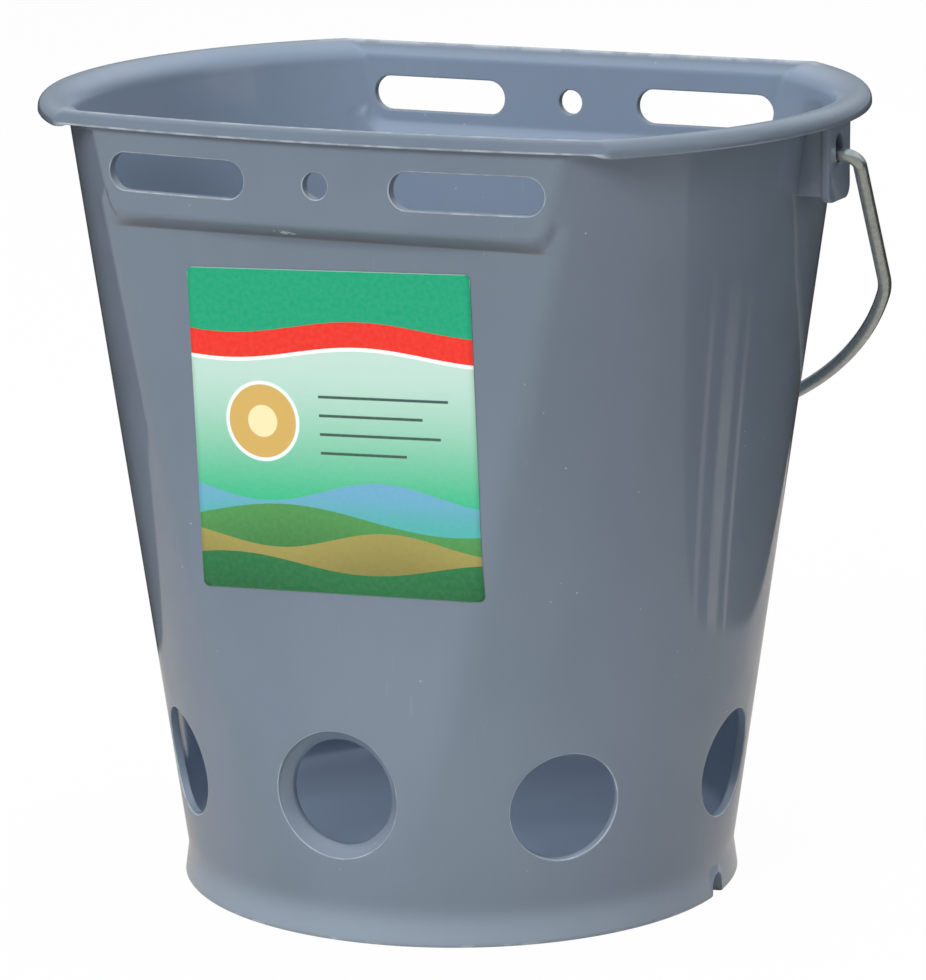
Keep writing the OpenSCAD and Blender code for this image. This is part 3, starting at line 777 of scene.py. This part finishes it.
def printed_label():
    """Printed film: a waved green head over a red ribbon, a pale field with rules and a disc, and rolling hills.

    Its map runs from the middle in units of 100 mm: u to the right and v up. The edge is a little pale all round for
    the sheet's pale core, and the upper edge is painted paler still as a highlight.
    """
    green, red, white = (0.010, 0.340, 0.170), (0.78, 0.032, 0.018), (0.86, 0.90, 0.87)
    low_field, high_field, sky = (0.022, 0.455, 0.215), (0.50, 0.68, 0.60), (0.16, 0.36, 0.60)
    ink, faded, film_core_and_highlight = (0.05, 0.10, 0.08), (0.75, 0.80, 0.78), (0.60, 0.74, 0.68)
    half_w, half_h = 0.492, 0.517
    disc_u, disc_v = -0.25, 0.03
    discs = ((0.128, (0.80, 0.86, 0.82)), (0.116, (0.62, 0.40, 0.11)), (0.050, (0.86, 0.74, 0.42)))
    rule_start, rules = -0.05, ((0.115, 0.40), (0.055, 0.31), (-0.005, 0.37), (-0.065, 0.25))
    hills = ((-0.275, 0.040, 0.85, 2.6, (0.10, 0.36, 0.10)), (-0.345, 0.030, 1.3, 0.2, (0.42, 0.36, 0.10)),
             (-0.425, 0.028, 1.05, 4.1, (0.030, 0.215, 0.070)))
    made = bpy.data.materials.new("printed_film")
    s = empty_tree(made)
    where = s.node("ShaderNodeUVMap", {"uv_map": "print"})
    u, v = s.parts(where, 2)

    def wave(level, rise, pitch, start):
        """Height over a wavy line: its level, rise and start, with a number of waves over 100 mm."""
        return v - level - s.math("SINE", u * (pitch * 2 * np.pi) + start) * rise

    def bar(value, middle, half):
        """1 within half of a middle value, with a fine soft edge."""
        return 1 - abs(value - middle).step(half - 0.0015, half + 0.0015)

    colour = v.step(-0.30, 0.27).blend(low_field, high_field)
    off_u, off_v = u - disc_u, v - disc_v
    reach = s.math("SQRT", off_u * off_u + off_v * off_v)
    for radius, paint in discs:
        colour = (1 - reach.step(radius, radius + 0.003)).blend(colour, paint)
    for level, end in rules:
        rule = bar(v, level, 0.0045) * bar(u, (end + rule_start) / 2, (end - rule_start) / 2)
        colour = rule.blend(colour, ink)
    far = 1 - wave(-0.19, 0.035, 1.25, 0.4).step(-0.001, 0.001)
    colour = (far * (0.45 + (v + 0.30).step(0.0, 0.12) * 0.4)).blend(colour, sky)
    for *line, paint in hills:
        hill = wave(*line)
        tint = (0.55 + hill * 4).blend(tuple(0.55 * c for c in paint), paint)
        colour = (1 - hill.step(-0.001, 0.001)).blend(colour, tint)
    head = wave(0.335, 0.022, 1.1, 0.9)
    for drop, paint in ((0.093, white), (0.081, red), (0.0, green)):
        colour = head.step(-drop - 0.001, -drop + 0.001).blend(colour, paint)
    grain = s.noise(where, 60, 3, 0.6)
    colour = (grain.step(0.3, 0.8) * 0.03).blend(colour, faded)
    # Pale edge: a little all round for the sheet's pale core, and a painted highlight along the upper edge where it
    # faces the light
    rim = s.math("MAXIMUM", abs(u) - half_w, abs(v) - half_h)
    edge = rim.step(-0.0022, -0.0004) * (0.08 + v.step(0.46, 0.51) * 0.60)
    crease = s.noise(where, 7, 2, 0.5)
    bump = s.node("ShaderNodeBump", {}, {"Strength": 0.10, "Distance": 0.0006, "Height": crease + grain * 0.05})
    s.surface({"Base Color": edge.blend(colour, film_core_and_highlight), "Roughness": 0.30 + grain * 0.10 + edge * 0.3, "Normal": bump,
               "Specular IOR Level": 0.2})
    return made


# ---------------------------------------------------------------- stage

def seen_directly(s):
    """Camera and transmitted rays, and mirrored rays, each as 0 or 1."""
    camera, through, mirrored = (
        s.node("ShaderNodeLightPath", out=f"Is {kind} Ray") for kind in ("Camera", "Transmission", "Glossy"))
    return s.math("MAXIMUM", camera, through), mirrored


def studio_floor():
    """Wide pale floor, lifted to white for the camera with the object's shadow kept.

    Mirrored rays see it as a painted reflection: a warm half tone, with a dark round-ended patch at each side from 0.3
    m out and three glowing light strips on one, which give the gloss of the sides its dark shape and streaks.
    """
    half, warm = 6, (1.0, 0.94, 0.89)
    # Dark patch of the painted reflection: angle of its middle from the front, reach in degrees to the back and front,
    # distance and depth of its end
    reflected_dark_at, to_back, to_front, reflected_dark_from, reflected_dark_end = 116, 62, 20, 0.30, 0.30
    strips = ((107.5, 1.3), (117.0, 3.6), (125.0, 1.1))
    mesh = bpy.data.meshes.new("floor")
    mesh.from_pydata([(-half, -half, 0), (half, -half, 0), (half, half, 0), (-half, half, 0)], [], [(0, 1, 2, 3)])
    floor = bpy.data.objects.new("floor", mesh)
    bpy.context.scene.collection.objects.link(floor)
    made = bpy.data.materials.new("pale_floor")
    s = empty_tree(made)
    x, y = s.parts(s.node("ShaderNodeTexCoord", out="Object"), 2)
    turn = s.math("DEGREES", s.math("ARCTAN2", x, 0 - y))
    reach = s.math("SQRT", x * x + y * y)
    off = abs(turn) - reflected_dark_at
    bend = s.math("MAXIMUM", off / to_back, 0 - off / to_front)
    reflected_dark = (reach - s.math("POWER", bend, 4) * reflected_dark_end).step(reflected_dark_from - 0.01, reflected_dark_from + 0.01)
    light = 0.0
    for middle, width in strips:
        light = (1 - abs(turn - middle).step(width * 0.6, width)) + light
    level = 0.53 - reflected_dark * 0.50 + reflected_dark * light * (1 - reach.step(0.48, 0.72)) * 0.94
    direct, mirrored = seen_directly(s)
    pale = s.node("ShaderNodeBsdfDiffuse", {}, {"Color": (0.66, 0.66, 0.66, 1)})
    shown = s.node("ShaderNodeEmission", {}, {"Color": direct.blend(level.blend((0, 0, 0), warm), (1, 1, 1))})
    mixed = s.node("ShaderNodeMixShader", {}, {0: direct * 0.975 + mirrored, 1: pale, 2: shown})
    s.node("ShaderNodeOutputMaterial", {}, {"Surface": mixed})
    mesh.materials.append(made)


def studio_world():
    """White to the camera, a cool sky in mirrored rays, and a plain even fill on the object."""
    horizon, zenith = (0.27, 0.31, 0.36), (0.86, 0.94, 1.0)
    world = bpy.data.worlds.new("studio")
    bpy.context.scene.world = world
    s = empty_tree(world)
    up = s.parts(s.node("ShaderNodeTexCoord", out="Generated"), 3)[2]
    direct, mirrored = seen_directly(s)
    fill = s.node("ShaderNodeBackground", {}, {"Color": (0.94, 0.97, 1.0, 1), "Strength": 0.30})
    sky = up.step(0.05, 0.70).blend(horizon, zenith)
    shown = s.node("ShaderNodeBackground", {}, {"Color": direct.blend(sky, (1, 1, 1))})
    mixed = s.node("ShaderNodeMixShader", {}, {0: direct + mirrored, 1: fill, 2: shown})
    s.node("ShaderNodeOutputWorld", {}, {"Surface": mixed})


def stand(thing, place, right, up, back):
    """Puts a lamp or camera at a place, turned to its own three directions; it looks away from back."""
    bpy.context.scene.collection.objects.link(thing)
    thing.matrix_world = Matrix([*np.stack([right, up, back, place], 1).tolist(), [0, 0, 0, 1]])


def soft_box(name, place, size, power, shown):
    """Area lamp of a width and height that faces the bucket's middle; shown says that the gloss mirrors it."""
    middle = np.array([0, 0, 0.16])
    lamp = bpy.data.lights.new(name, "AREA")
    lamp.shape, lamp.size, lamp.size_y = "RECTANGLE", *size
    lamp.energy = power
    holder = bpy.data.objects.new(name, lamp)
    holder.visible_camera, holder.visible_glossy = False, shown
    back = np.array(place) - middle
    back /= np.linalg.norm(back)
    right = np.cross([0, 0, 1], back)
    right /= np.linalg.norm(right)
    stand(holder, place, right, np.cross(back, right), back)


def photo_camera():
    """Camera at the photograph's angle: a long lens, aimed at the bucket's middle from the right front."""
    image_w, image_h, sensor = 926, 980, 36
    azimuth, elevation, roll = np.radians([24.897, 12.713, -0.520])
    distance, focal_px, centre_px = 1.551802, 4652.72, (458.36, 488.07)
    target = np.array([0, 0, 0.130])
    back = np.array([np.sin(azimuth) * np.cos(elevation), -np.cos(azimuth) * np.cos(elevation), np.sin(elevation)])
    level = np.array([np.cos(azimuth), np.sin(azimuth), 0])
    rise = np.cross(back, level)
    right = level * np.cos(roll) + rise * np.sin(roll)
    up = rise * np.cos(roll) - level * np.sin(roll)
    lens = bpy.data.cameras.new("camera")
    lens.sensor_fit, lens.sensor_width = "AUTO", sensor
    lens.lens = focal_px / image_h * sensor
    lens.shift_x = (image_w / 2 - centre_px[0]) / image_h
    lens.shift_y = (centre_px[1] - image_h / 2) / image_h
    camera = bpy.data.objects.new("camera", lens)
    stand(camera, target + distance * back, right, up, back)
    bpy.context.scene.camera = camera


plastic = moulded_plastic()
piece("bucket_shell", bucket_mesh(), plastic, "body", "bucket")
for name, side in (("ear_right", 1), ("ear_left", -1)):
    piece(name, ear_mesh(name, side), plastic, "body")
piece("bail_wire", bail_mesh(), galvanised_wire(), "bail", "bail")
piece("label_film", label_mesh(), printed_label(), "body", "label")

studio_floor()
studio_world()
soft_box("key", (-0.30, -2.30, 1.66), (1.4, 1.0), 57, shown=False)
soft_box("top", (0.00, 0.10, 2.50), (1.6, 1.6), 33, shown=False)
soft_box("left", (-1.50, -2.00, 1.60), (1.2, 1.0), 1.5, shown=True)
soft_box("right", (2.20, 0.50, 0.80), (0.8, 1.2), 1.5, shown=True)
soft_box("back", (0.50, 2.20, 1.30), (1.4, 1.0), 26, shown=False)
photo_camera()
bpy.context.scene.view_settings.view_transform = "Standard"
